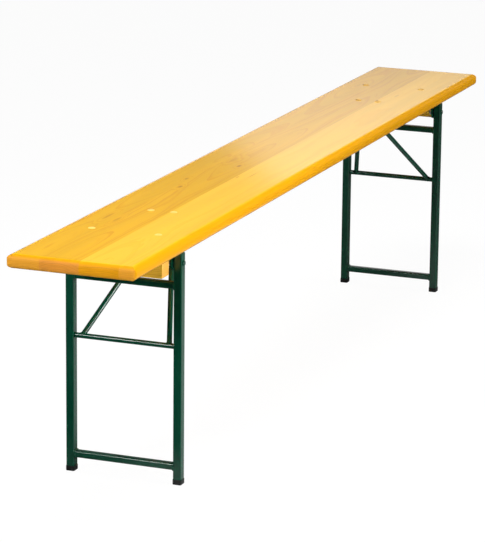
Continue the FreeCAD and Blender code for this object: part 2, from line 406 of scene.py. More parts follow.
@dataclass(frozen=True)
class PineFinish:
    """Lacquered pine: year rings round a heart that wanders along the board.

    The same rings give lines and arches on the faces and arcs on the end grain.

    Attributes:
        name: The material's name.
        tint: The colours of its faces, with painted light and shade on its upright faces.
        end: The colour of its end grain.
        heart: Where the heart lies, across the fibres and up.
        seed: A shift along the fibres that gives each board a grain of its own.
        contrast: How much the late wood shows.
        grain: The way that the fibres run.
        knots: The knots on its top.
        lacquer: How much the lacquer shines.
        ring: The width of a year ring.
        sway: How far the heart wanders.
        ring_shades: Where a ring starts to darken, and how much, from its start to its end.
        knot_tint: The colour of a knot as a share of the late wood's.
        fibre_waves: Waves per metre of the fibres, and below it of the other unevennesses.
    """

    name: str
    tint: PineTint
    end: Colour
    heart: tuple[float, float]
    seed: float
    contrast: float
    grain: Grain = Grain.ALONG_BENCH
    knots: tuple[Knot, ...] = ()
    lacquer: float = 0.8
    ring: float = 0.0032
    sway: float = 0.022
    ring_shades: tuple[tuple[float, float], ...] = (
        (0.0, 0.1), (0.5, 0.18), (0.86, 1.0), (0.95, 0.9), (1.0, 0.1),
    )
    knot_tint: Colour = (0.42, 0.3, 0.35)
    fibre_waves: Point = (9.0, 900.0, 900.0)
    cloud_waves: Point = (1.6, 26.0, 26.0)
    drift_waves: Point = (1.1, 3.0, 3.0)
    ripple_waves: Point = (16.0, 90.0, 90.0)
    knot_waves: Point = (60.0, 160.0, 160.0)
    ring_waves: float = 160.0

    def material(self) -> bpy.types.Material:
        """Make the material.

        Returns:
            The new material.
        """
        material, graph = new_graph(self.name)
        along, across, up = self._axes(graph, graph.place())
        run, _, rise = self._axes(graph, graph.facing())
        end = graph.step(graph.maths("ABSOLUTE", run), 0.55, 0.93)
        # side: one on the upright faces, where the tint's edge colour paints light and shade
        side = graph.step(graph.maths("ABSOLUTE", rise), 0.998, 0.9)
        place = graph.wire("ShaderNodeCombineXYZ", None, {0: along + self.seed, 1: across, 2: up})
        eyes, halos = self._knots(graph, along, across, place)
        late = self._late_wood(graph, self._radius(graph, place, across, up) + halos)
        fibre = graph.noise(place, self.fibre_waves)
        cloud = graph.noise(place, self.cloud_waves, 3.0)

        share = late * self.contrast * graph.step(cloud, 0.25, 0.75, 0.55, 1.0)
        # The upright faces take the edge colour, so painted light and shade is mixed into the face
        # colour.
        face = graph.mix(share, graph.mix(side, self.tint.early, self.tint.edge), self.tint.late)
        colour = graph.mix(end, face, graph.mix(late * 0.45, self.end, darker(self.end, 0.62)))
        shade = graph.step(fibre, 0.3, 0.75, 0.955, 1.015)
        shade = shade * graph.step(cloud, 0.3, 0.72, 0.94, 1.03)
        colour = graph.vector("SCALE", {0: colour, "Scale": shade})
        dark = tuple(late * knot for late, knot in zip(self.tint.late, self.knot_tint))
        graph.surface(
            {
                "Base Color": graph.mix(eyes, colour, dark),
                "Roughness": graph.step(fibre, 0.2, 0.8, 0.42, 0.5),
                "Specular IOR Level": 0.04,
                "Coat Weight": self._lacquer_film(graph, along, rise, end),
                "Coat Roughness": 0.08,
                "Coat IOR": 1.46,
                "Normal": graph.bump(late * 0.5 + fibre * 0.5, 0.00006, 0.5),
            }
        )
        return material

    def _axes(self, graph: Graph, vector: Wire) -> tuple[Wire, Wire, Wire]:
        """Take a vector apart: along the fibres, across them and up."""
        x, y, z = graph.split(vector)
        return (x, y, z) if self.grain is Grain.ALONG_BENCH else (y, x, z)

    def _radius(self, graph: Graph, place: Wire, across: Wire, up: Wire) -> Wire:
        """Measure the distance from the wandering heart, with the rings' unevenness.

        Args:
            graph: The material's graph.
            place: The place, in the board's own directions.
            across: The place across the fibres.
            up: The height.

        Returns:
            The distance in metres.
        """
        drift, lift, _ = graph.split(graph.noise(place, self.drift_waves, 1.5, "Color"))
        side = across - self.heart[0] + (drift - 0.5) * self.sway * 2
        rise = up - self.heart[1] + (lift - 0.5) * self.sway * 2
        reach = (side * side + rise * rise) ** 0.5
        uneven = graph.wire(
            "ShaderNodeTexNoise", {"noise_dimensions": "1D"},
            {"W": reach * self.ring_waves, "Detail": 1.0},
        )
        ripple = graph.noise(place, self.ripple_waves)
        shift = (uneven - 0.5) * (self.ring * 1.3)
        return reach + shift + (ripple - 0.5) * (self.ring * 0.45)

    def _late_wood(self, graph: Graph, radius: Wire) -> Wire:
        """Draw dark bands that build up slowly across each ring and end sharply."""
        phase = graph.maths("FRACT", radius / self.ring)
        return graph.wire("ShaderNodeValToRGB", {"stops": self.ring_shades}, {0: phase})

    def _knots(
        self, graph: Graph, along: Wire, across: Wire, place: Wire
    ) -> tuple[Wire | float, Wire | float]:
        """Mask the knots and bend the rings round them.

        Args:
            graph: The material's graph.
            along: The place along the fibres.
            across: The place across them.
            place: The place, in the board's own directions.

        Returns:
            How dark the knots' eyes are, and how far the rings are pushed out, in metres.
        """
        eyes: Wire | float = 0.0
        halos: Wire | float = 0.0
        rough = graph.noise(place, self.knot_waves)
        for knot in self.knots:
            length = (along - knot.along) / knot.half_length
            width = (across - knot.across) / knot.half_width
            reach = (length * length + width * width) ** 0.5 + (rough - 0.5) * 0.5
            eyes = eyes + graph.step(reach, 1.15, 0.35, 0.0, knot.darkness)
            halos = halos + graph.step(reach, 3.2, 0.6)
        return eyes, halos * (self.ring * 1.6)

    def _lacquer_film(self, graph: Graph, along: Wire, rise: Wire, end: Wire) -> Wire:
        """Lay the lacquer: full on the flats, thin on the upper rounding, none on the end grain.

        Args:
            graph: The material's graph.
            along: The place along the fibres; the far half of the seat is a little worn.
            rise: How much the surface faces up.
            end: One on the end grain, nothing elsewhere.

        Returns:
            The weight of the film.
        """
        worn = graph.step(along, 0.3, 1.0, 1.0, 0.8)
        film = graph.step(rise, 0.93, 0.995, 0.08, 1.0) * worn + graph.step(rise, -0.35, -0.7)
        return (1.0 - end) * graph.maths("MINIMUM", film, 1.0) * self.lacquer


# Third colour: painted shade on the staves' upright faces, painted light on the battens'.
AMBER = PineTint(tone(229, 175, 14), tone(214, 146, 4), tone(214, 150, 5))
PALE = PineTint(tone(246, 192, 48), tone(239, 174, 20), tone(220, 153, 2))
BATTEN = PineTint(tone(226, 165, 76), tone(200, 130, 40), tone(255, 214, 76))


@dataclass(frozen=True)
class PaintedSteel:
    """Green powder coat on steel tube, with a fine orange-peel skin."""

    name: str
    colour: Colour = tone(0, 66, 47)
    cloud_waves: float = 14.0
    peel_waves: float = 620.0

    def material(self) -> bpy.types.Material:
        """Make the material.

        Returns:
            The new material.
        """
        material, graph = new_graph(self.name)
        place = graph.place()
        cloud = graph.noise(place, self.cloud_waves, 3.0)
        peel = graph.noise(place, self.peel_waves, 1.0)
        patches = graph.step(cloud, 0.3, 0.7)
        graph.surface(
            {
                "Base Color": graph.mix(patches, darker(self.colour, 0.86), self.colour),
                "Roughness": graph.step(cloud, 0.3, 0.7, 0.2, 0.27),
                "Normal": graph.bump(peel, 0.00003, 0.35),
            }
        )
        return material


@dataclass(frozen=True)
class BareMetal:
    """Plated or sprung steel, with a fine grit and a cloudy tarnish."""

    name: str
    colour: Colour
    dull: Colour
    roughness: float
    metallic: float = 1.0
    cloud_waves: float = 90.0
    grit_waves: float = 900.0

    def material(self) -> bpy.types.Material:
        """Make the material.

        Returns:
            The new material.
        """
        material, graph = new_graph(self.name)
        place = graph.place()
        cloud = graph.noise(place, self.cloud_waves, 3.0)
        grit = graph.noise(place, self.grit_waves)
        rough = graph.step(cloud, 0.3, 0.7, self.roughness, self.roughness + 0.14)
        graph.surface(
            {
                "Base Color": graph.mix(graph.step(cloud, 0.35, 0.7), self.colour, self.dull),
                "Metallic": self.metallic,
                "Roughness": rough,
                "Normal": graph.bump(grit, 0.00002, 0.3),
            }
        )
        return material


@dataclass(frozen=True)
class MouldedPlastic:
    """Moulded plastic with a fine spark-eroded skin."""

    name: str
    colour: Colour
    roughness: float
    cloud_waves: float = 60.0
    skin_waves: float = 1500.0

    def material(self) -> bpy.types.Material:
        """Make the material.

        Returns:
            The new material.
        """
        material, graph = new_graph(self.name)
        place = graph.place()
        skin = graph.noise(place, self.skin_waves)
        patches = graph.step(graph.noise(place, self.cloud_waves), 0.3, 0.7)
        rough = graph.step(skin, 0.2, 0.8, self.roughness - 0.06, self.roughness + 0.08)
        graph.surface(
            {
                "Base Color": graph.mix(patches, darker(self.colour, 0.8), self.colour),
                "Roughness": rough,
                "Specular IOR Level": 0.3,
                "Normal": graph.bump(skin, 0.00005, 0.4),
            }
        )
        return material


def dress(
    names: Iterable[str], nodes: dict[str, bpy.types.Object], material: bpy.types.Material
) -> None:
    """Give CAD nodes a finish.

    Args:
        names: The nodes' names.
        nodes: All CAD nodes by name.
        material: The finish.
    """
    for name in names:
        for slot in nodes[name].material_slots:
            slot.material = material
        LOG.info("dressed %s in %s", name, material.name)


# ---------------------------------------------------------------- modelling


def add_object(name: str, data: bpy.types.ID) -> bpy.types.Object:
    """Put a new object in the scene.

    Args:
        name: The object's name.
        data: Its mesh, camera or light.

    Returns:
        The new object.
    """
    added = bpy.data.objects.new(name, data)
    bpy.context.scene.collection.objects.link(added)
    LOG.info("placed %s", name)
    return added


def add_mesh(
    name: str, mesh: bmesh.types.BMesh, material: bpy.types.Material
) -> bpy.types.Object:
    """Put a bmesh in the scene and free it.

    Args:
        name: The object's name.
        mesh: Its shape.
        material: Its finish.

    Returns:
        The new object.
    """
    data = bpy.data.meshes.new(name)
    mesh.to_mesh(data)
    mesh.free()
    data.materials.append(material)
    return add_object(name, data)


def finish_piece(
    name: str, mesh: bmesh.types.BMesh, material: bpy.types.Material, body: str,
    smooth: float = 35.0,
) -> bpy.types.Object:
    """Turn a bmesh into a piece that rides on a body.

    Args:
        name: The piece's name.
        mesh: The shape, in the frame's own place.
        material: Its finish.
        body: The CAD body that it rides on.
        smooth: Edges flatter than this many degrees are shaded smooth.

    Returns:
        The new object.
    """
    bmesh.ops.remove_doubles(mesh, verts=mesh.verts, dist=MERGE_DISTANCE)
    bmesh.ops.recalc_face_normals(mesh, faces=mesh.faces)
    for face in mesh.faces:
        face.smooth = True
    sharp = math.radians(smooth)
    for edge in mesh.edges:
        edge.smooth = len(edge.link_faces) != 2 or edge.calc_face_angle(0.0) < sharp
    piece = add_mesh(name, mesh, material)
    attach(piece, body)
    LOG.info("built %s, %d faces, on %s", name, len(piece.data.polygons), body)
    return piece


def lathe(
    mesh: bmesh.types.BMesh, profile: Sequence[tuple[float, float]], place: Matrix, steps: int
) -> None:
    """Turn a profile round its own Z axis and put it in its place.

    Args:
        mesh: The mesh that gets the shape.
        profile: Radius and height of each point, from one end of the axis to the other.
        place: Where the shape goes.
        steps: The number of faces round it.
    """
    before = set(mesh.verts)
    verts = [mesh.verts.new((radius, 0.0, height)) for radius, height in profile]
    edges = [mesh.edges.new(pair) for pair in zip(verts, verts[1:])]
    bmesh.ops.spin(
        mesh, geom=verts + edges, cent=(0.0, 0.0, 0.0), axis=(0.0, 0.0, 1.0),
        dvec=(0.0, 0.0, 0.0), angle=math.tau, steps=steps, use_merge=True, use_duplicate=False,
    )
    fresh = [vert for vert in mesh.verts if vert not in before]
    bmesh.ops.transform(mesh, matrix=place, verts=fresh)


def verts_in(geometry: Iterable[object]) -> list[bmesh.types.BMVert]:
    """Pick the vertices out of what an operator made."""
    return [item for item in geometry if isinstance(item, bmesh.types.BMVert)]


def loop_of(verts: Sequence[bmesh.types.BMVert]) -> list[bmesh.types.BMEdge]:
    """Give the edges that meet a fresh circle's or grid's vertices."""
    return list({edge for vert in verts for edge in vert.link_edges})


def bead(mesh: bmesh.types.BMesh, rings: Sequence[Matrix], sides: int = 8) -> None:
    """Run a closed weld bead through a row of places.

    Args:
        mesh: The mesh that gets the bead.
        rings: Each ring's place, with the bead's run along its own Z and its half widths as
            its scale.
        sides: The number of faces round the bead.
    """
    loops = []
    for ring in rings:
        circle = bmesh.ops.create_circle(
            mesh, cap_ends=False, segments=sides, radius=1.0, matrix=ring
        )
        loops.append(loop_of(circle["verts"]))
    for first, second in zip(loops, loops[1:] + loops[:1]):
        bmesh.ops.bridge_loops(mesh, edges=first + second)


def ring_at(
    place: Vector, outward: Vector, run: Vector, half_out: float, half_side: float
) -> Matrix:
    """Give the place of one ring of a bead.

    Args:
        place: Its middle.
        outward: The direction away from the joint.
        run: The direction that the bead runs in.
        half_out: Its half width along the outward direction.
        half_side: Its half width across it.

    Returns:
        The ring's matrix.
    """
    ahead = run.normalized()
    side = ahead.cross(outward).normalized()
    out = side.cross(ahead)
    turn = Matrix((out * half_out, side * half_side, ahead)).transposed().to_4x4()
    return Matrix.Translation(place) @ turn


def swell(step: int, share: float = 0.1) -> float:
    """Give the ripple of a bead at one of its rings: two waves of different lengths."""
    return 1.0 + share * math.sin(step * 2.4) + share * 0.6 * math.sin(step * 1.1 + 0.7)


# ---------------------------------------------------------------- sub-assemblies


STAVES = {
    "seat_stave_rear": PineFinish(
        "pine_rear", AMBER, end=tone(236, 163, 51), heart=(0.075, 0.30), seed=3.1, contrast=0.6,
        knots=(
            Knot(-0.3095, 0.0655, 0.010, 0.0035, 0.5),
            Knot(-0.6625, 0.0773, 0.028, 0.0035, 0.3),
            Knot(0.755, 0.0807, 0.02, 0.004, 0.25),
        ),
    ),
    "seat_stave_rear_middle": PineFinish(
        "pine_rear_middle", AMBER, end=tone(229, 150, 55), heart=(0.02, 0.36), seed=11.7,
        contrast=0.8,
        knots=(
            Knot(-0.3805, 0.0492, 0.012, 0.004, 0.55),
            Knot(-0.16, 0.0141, 0.010, 0.004, 0.7),
            Knot(-0.1115, 0.0441, 0.022, 0.010, 0.16),
            Knot(-0.681, 0.0507, 0.022, 0.004, 0.3),
        ),
    ),
    "seat_stave_front_middle": PineFinish(
        "pine_front_middle", PALE, end=tone(233, 159, 22), heart=(-0.06, 0.22), seed=23.4,
        contrast=0.45,
        knots=(
            Knot(-0.2558, -0.0205, 0.012, 0.003, 0.35),
            Knot(-0.2258, -0.0416, 0.03, 0.0016, 0.4),
            Knot(0.666, -0.04, 0.018, 0.0035, 0.25),
        ),
    ),
    "seat_stave_front": PineFinish(
        "pine_front", PALE, end=tone(236, 162, 48), heart=(-0.14, 0.30), seed=37.9, contrast=0.45,
    ),
}


@dataclass
class Seat:
    """The seat board of four glued staves, and the battens under it."""

    nodes: dict[str, bpy.types.Object]
    batten_x: float = 0.80
    batten_heart: float = 0.36
    batten_seed: float = 51.0

    def dress(self) -> None:
        """Give each stave and batten its own pine."""
        for name, finish in STAVES.items():
            dress([name], self.nodes, finish.material())
        for end, sign in ENDS.items():
            finish = PineFinish(
                f"pine_batten_{end}", BATTEN, end=tone(232, 172, 78),
                heart=(sign * self.batten_x, self.batten_heart), seed=self.batten_seed + sign,
                contrast=0.8, grain=Grain.ACROSS_BENCH, lacquer=0.3,
            )
            dress([f"batten_{end}"], self.nodes, finish.material())


@dataclass
class Fittings:
    """The bolts, nuts, straps and catch springs of one end."""

    nodes: dict[str, bpy.types.Object]
    end: str
    zinc: bpy.types.Material
    bright: bpy.types.Material
    spring: bpy.types.Material
    nylon: bpy.types.Material
    paint: bpy.types.Material
    seat_top: float = 0.468
    seat_thickness: float = 0.027
    strap_x: float = 0.761
    strap_half_spacing: float = 0.066
    strap_tail: float = 0.431
    catch_x: float = 0.5865
    catch_half_spacing: float = 0.023
    catch_tail: float = 0.432
    head_sink: float = 0.0016
    head_radius: float = 0.007
    head_skirt: float = 0.0010
    head_round: float = 0.0016
    shank_radius: float = 0.003
    thread_pitch: float = 0.001
    thread_depth: float = 0.0004
    tip_chamfer: float = 0.0007
    batten_x: float = 0.8
    screw_places: tuple[float, ...] = (-0.07, 0.0, 0.07)
    screw_radius: float = 0.0045
    screw_rim: float = 0.0004
    screw_cone: float = 0.0026
    screw_shank: float = 0.00225
    screw_length: float = 0.02
    recess_half: float = 0.0021
    recess_depth: float = 0.0016
    recess_taper: float = 0.7

    def build(self) -> None:
        """Model the seat bolts and the batten's screws in place of the plain ones."""
        sign = ENDS[self.end]
        self._seat_bolts(
            "hinge_strap_bolts", sign * self.strap_x, self.strap_half_spacing, self.strap_tail
        )
        self._seat_bolts(
            "catch_bolts", sign * self.catch_x, self.catch_half_spacing, self.catch_tail
        )
        self._screws(sign * self.batten_x)

    def _seat_bolts(self, name: str, x: float, half_spacing: float, tail: float) -> None:
        """Turn a pair of low-headed bolts with threaded tails.

        Args:
            name: The CAD node that they replace, without its end.
            x: Where the pair lies along the bench.
            half_spacing: Half the distance between the two.
            tail: The height of their lower ends.
        """
        mesh = bmesh.new()
        base = self.seat_top - self.head_sink
        skirt = base + self.head_skirt
        crown = self.head_radius - self.head_round
        profile = [(0.0, skirt + self.head_round)]
        for turn in (math.radians(15 * step) for step in range(7)):
            profile.append(
                (
                    crown + self.head_round * math.sin(turn),
                    skirt + self.head_round * math.cos(turn),
                )
            )
        profile += [(self.head_radius, base), (self.shank_radius, base)]
        level = self.seat_top - self.seat_thickness
        while level > tail + 2 * self.thread_pitch:
            root = (self.shank_radius - self.thread_depth, level - self.thread_pitch / 2)
            profile += [(self.shank_radius, level), root]
            level -= self.thread_pitch
        profile += [
            (self.shank_radius - self.thread_depth / 2, tail + self.thread_depth),
            (self.shank_radius - self.tip_chamfer, tail),
            (0.0, tail),
        ]
        for y in (-half_spacing, half_spacing):
            lathe(mesh, profile, Matrix.Translation((x, y, 0.0)), 40)
        node = f"{name}_{self.end}"
        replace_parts(finish_piece(f"turned_{node}", mesh, self.bright, "seat"), node)

    def _screws(self, x: float) -> None:
        """Build countersunk screws with a cross recess, driven up into the batten.

        Args:
            x: Where the row lies along the bench.
        """
        mesh = bmesh.new()
        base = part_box(f"batten_screws_{self.end}")[0][2]
        for y in self.screw_places:
            before = set(mesh.verts)
            self._screw(mesh)
            moved = [vert for vert in mesh.verts if vert not in before]
            bmesh.ops.transform(mesh, matrix=Matrix.Translation((x, y, base)), verts=moved)
        node = f"batten_screws_{self.end}"
        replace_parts(finish_piece(f"recessed_{node}", mesh, self.zinc, "seat"), node)

    def _screw(self, mesh: bmesh.types.BMesh) -> None:
        """Build one screw that stands on its head at the origin.

        Args:
            mesh: The mesh that gets the screw.
        """
        grid = bmesh.ops.create_grid(mesh, x_segments=3, y_segments=3, size=self.recess_half)
        cells = {face for vert in grid["verts"] for face in vert.link_faces}
        half_cell = self.recess_half / 3
        cross = [
            face for face in cells
            if min(abs(part) for part in face.calc_center_median().xy) < half_cell
        ]
        square = [edge for edge in loop_of(grid["verts"]) if edge.is_boundary]
        rim = bmesh.ops.create_circle(
            mesh, cap_ends=False, segments=12, radius=self.screw_radius
        )
        current = loop_of(rim["verts"])
        bmesh.ops.bridge_loops(mesh, edges=square + current)
        pushed = bmesh.ops.extrude_face_region(mesh, geom=cross)["geom"]
        bmesh.ops.delete(mesh, geom=cross, context="FACES_ONLY")
        taper = Matrix.Diagonal((self.recess_taper, self.recess_taper, 1.0, 1.0))
        sink = Matrix.Translation((0.0, 0.0, self.recess_depth))
        bmesh.ops.transform(mesh, matrix=sink @ taper, verts=verts_in(pushed))
        for radius, height in (
            (self.screw_radius, self.screw_rim),
            (self.screw_shank, self.screw_cone),
            (self.screw_shank, self.screw_length),
        ):
            grown = bmesh.ops.extrude_edge_only(mesh, edges=current)["geom"]
            for vert in verts_in(grown):
                vert.co = Vector((*(vert.co.xy.normalized() * radius), height))
            current = [
                item for item in grown if isinstance(item, bmesh.types.BMEdge) and item.is_boundary
            ]
        bmesh.ops.contextual_create(mesh, geom=current)

    def dress(self) -> None:
        """Give the metal and nylon parts their finishes."""
        zinc = ("hinge_strap_nuts", "pivot_nuts", "catch_nuts", "catch_spring_rivet")
        painted = ("hinge_strap", "catch_plate", "pivot_bolts")
        for names, material in (
            (zinc, self.zinc),
            (painted, self.paint),
            (("catch_spring",), self.spring),
            (("pivot_washers",), self.nylon),
        ):
            dress([f"{name}_{self.end}" for name in names], self.nodes, material)


@dataclass
class LegFrame:
    """One leg frame with its brace."""

    nodes: dict[str, bpy.types.Object]
    end: str
    paint: bpy.types.Material
    plastic: bpy.types.Material
    upright_x: float = 0.761
    upright_half: float = 0.008
    inner_y: float = 0.0997
    rail_levels: tuple[float, ...] = (0.0331, 0.3775)
    rail_half: tuple[float, float] = (0.008, 0.0065)
    rail_corner: float = 0.0035
    rail_bead: tuple[float, float] = (0.0017, 0.0029)
    axle_level: float = 0.262
    rod_radius: float = 0.005
    foot_places: tuple[float, ...] = (-0.0885, 0.0855)
    bar_place: Point = (0.5745, 0.0157, 0.4335)
    foot_bead: float = 0.0013
    foot_lift: float = 1.02  # how far outside the axle's skin the bead runs, as a squared ratio
    bead_smooth: float = 60.0
    cap_half: tuple[float, float] = (0.0098, 0.0088)
    cap_height: float = 0.0095
    cap_floor: float = 0.003
    cap_wall: float = 0.00075
    cap_corner: float = 0.0033
    cap_edge: float = 0.001
    cap_smooth: float = 50.0
    sole_steps: tuple[tuple[float, float], ...] = (  # width and height of each step of the groove
        (0.0007, 0.0), (0.0003, -0.0006), (0.0005, 0.0), (0.0003, 0.0006),
    )

    def build(self) -> None:
        """Run the weld beads and mould the foot caps."""
        x = ENDS[self.end] * self.upright_x
        mesh = bmesh.new()
        for level in self.rail_levels:
            for turn in SIDES.values():
                bead(mesh, self._rail_rings(Vector((x, turn * self.inner_y, level))))
        finish_piece(
            f"rail_welds_{self.end}", mesh, self.paint, f"leg_{self.end}",
            self.bead_smooth,
        )
        mesh = bmesh.new()
        for foot in self.foot_places:
            bead(mesh, self._foot_rings(foot))
        finish_piece(
            f"bow_welds_{self.end}", mesh, self.paint, f"brace_{self.end}",
            self.bead_smooth,
        )
        for side, turn in SIDES.items():
            self._cap(side, turn * (self.inner_y + self.upright_half))

    def _rail_rings(self, centre: Vector, steps: int = 56) -> list[Matrix]:
        """Place the bead where a rail meets an upright, round the rail's rounded outline.

        Args:
            centre: The middle of the rail's end.
            steps: The number of rings.

        Returns:
            The rings' places.
        """
        half_x, half_z = self.rail_half
        corner = self.rail_corner
        bend = math.pi / 2 * corner
        lengths = [2 * (half_z - corner), bend, 2 * (half_x - corner), bend] * 2
        total = sum(lengths)
        rings = []
        for step in range(steps):
            run = total * step / steps
            part = 0
            while run > lengths[part]:
                run -= lengths[part]
                part += 1
            quarter, on_corner = divmod(part, 2)
            first, second = (half_x, half_z) if quarter % 2 == 0 else (half_z, half_x)
            if on_corner:
                angle = run / corner
                out = Vector((math.cos(angle), math.sin(angle)))
                ahead = Vector((-math.sin(angle), math.cos(angle)))
                spot = Vector((first - corner, second - corner)) + out * corner
            else:
                out, ahead = Vector((1.0, 0.0)), Vector((0.0, 1.0))
                spot = Vector((first, run - (second - corner)))
            spin = Matrix.Rotation(math.pi / 2 * quarter, 2)
            turned = [spin @ each for each in (spot, out, ahead)]
            spot, out, ahead = (Vector((each.x, 0.0, each.y)) for each in turned)
            half_out, half_side = (width * swell(step) for width in self.rail_bead)
            rings.append(ring_at(centre + spot, out, ahead, half_out, half_side))
        return rings

    def _foot_rings(self, foot: float, steps: int = 40) -> list[Matrix]:
        """Place the bead where a foot of the bow meets the axle.

        Args:
            foot: Where the foot lies across the bench.
            steps: The number of rings.

        Returns:
            The rings' places.
        """
        sign = ENDS[self.end]
        start = Vector((sign * self.upright_x, foot, self.axle_level))
        reach, half, level = self.bar_place
        along = (Vector((sign * reach, math.copysign(half, foot), level)) - start).normalized()
        flat = Vector((along.x, 0.0, along.z))
        slant = math.hypot(along.x, along.z)
        across = flat.cross(Vector((0.0, 1.0, 0.0))).normalized()
        other = along.cross(across).normalized()
        rod_square = self.rod_radius**2 * self.foot_lift
        spots = []
        for step in range(steps):
            turn = math.tau * step / steps
            shift = across * (self.rod_radius * math.cos(turn))
            shift += other * (self.rod_radius * math.sin(turn))
            level_shift = Vector((shift.x, 0.0, shift.z))
            middle = level_shift.dot(flat) / slant**2
            apart = max(rod_square - level_shift.length_squared + (middle * slant) ** 2, 0.0)
            spots.append((start + shift + along * (math.sqrt(apart) / slant - middle), shift))
        rings = []
        for step, (spot, shift) in enumerate(spots):
            ahead = spots[(step + 1) % steps][0] - spots[step - 1][0]
            size = self.foot_bead * swell(step)
            rings.append(ring_at(spot, shift, ahead, size, size))
        return rings

    def _cap(self, side: str, y: float) -> None:
        """Mould one foot cap: a cup with rounded corners, a wall and a grooved sole.

        Args:
            side: "front" or "rear".
            y: Where its middle lies across the bench.
        """
        mesh = bmesh.new()
        half_x, half_y = self.cap_half
        block = Matrix.Diagonal((2 * half_x, 2 * half_y, self.cap_height, 1.0))
        bmesh.ops.create_cube(mesh, size=1.0)
        bmesh.ops.transform(
            mesh, verts=mesh.verts,
            matrix=Matrix.Translation((0.0, 0.0, self.cap_height / 2)) @ block,
        )
        upright = [
            edge for edge in mesh.edges
            if abs(edge.verts[0].co.z - edge.verts[1].co.z) > self.cap_height / 2
        ]
        bmesh.ops.bevel(
            mesh, geom=upright, offset=self.cap_corner, offset_type="OFFSET", affect="EDGES",
            segments=6, profile=0.5, material=-1,
        )
        mesh.normal_update()
        top = [face for face in mesh.faces if face.normal.z > FACING]
        bmesh.ops.inset_region(mesh, faces=top, thickness=self.cap_wall, use_even_offset=True)
        moved = bmesh.ops.extrude_face_region(mesh, geom=top)["geom"]
        bmesh.ops.delete(mesh, geom=top, context="FACES_ONLY")
        down = (0.0, 0.0, self.cap_floor - self.cap_height)
        bmesh.ops.translate(mesh, verts=verts_in(moved), vec=down)
        mesh.normal_update()
        base = [face for face in mesh.faces if face.normal.z < -FACING]
        bmesh.ops.bevel(
            mesh, geom=list({edge for face in base for edge in face.edges}), offset=self.cap_edge,
            offset_type="OFFSET", affect="EDGES", segments=4, profile=0.5, material=-1,
        )
        mesh.normal_update()
        sole = [face for face in mesh.faces if face.normal.z < -FACING]
        for thickness, depth in self.sole_steps:
            bmesh.ops.inset_region(
                mesh, faces=sole, thickness=thickness, depth=depth, use_even_offset=True
            )
        place = (ENDS[self.end] * self.upright_x, y, 0.0)
        bmesh.ops.translate(mesh, verts=mesh.verts, vec=place)
        node = f"foot_cap_{side}_{self.end}"
        piece = finish_piece(
            f"moulded_{node}", mesh, self.plastic, f"leg_{self.end}",
            self.cap_smooth,
        )
        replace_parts(piece, node)

    def dress(self) -> None:
        """Paint the tubes and rods."""
        uprights = ("upright_front", "upright_rear")
        painted = uprights + ("upper_rail", "lower_rail", "brace_axle", "brace_bow")
        dress([f"{name}_{self.end}" for name in painted], self.nodes, self.paint)


# ---------------------------------------------------------------- studio


@dataclass(frozen=True)
class SoftBox:
    """A square lamp: its place, the point that it faces, its side, power and spread."""

    name: str
    place: Point
    target: Point
    size: float
    watts: float
    spread: float = 180.0

    def build(self) -> None:
        """Hang the lamp."""
        data = bpy.data.lights.new(self.name, "AREA")
        data.size = self.size
        data.energy = self.watts
        data.spread = math.radians(self.spread)
        lamp = add_object(self.name, data)
        lamp.visible_camera = False
        aim = Vector(self.target) - Vector(self.place)
        turn = aim.to_track_quat("-Z", "Y").to_matrix().to_4x4()
        lamp.matrix_world = Matrix.Translation(self.place) @ turn


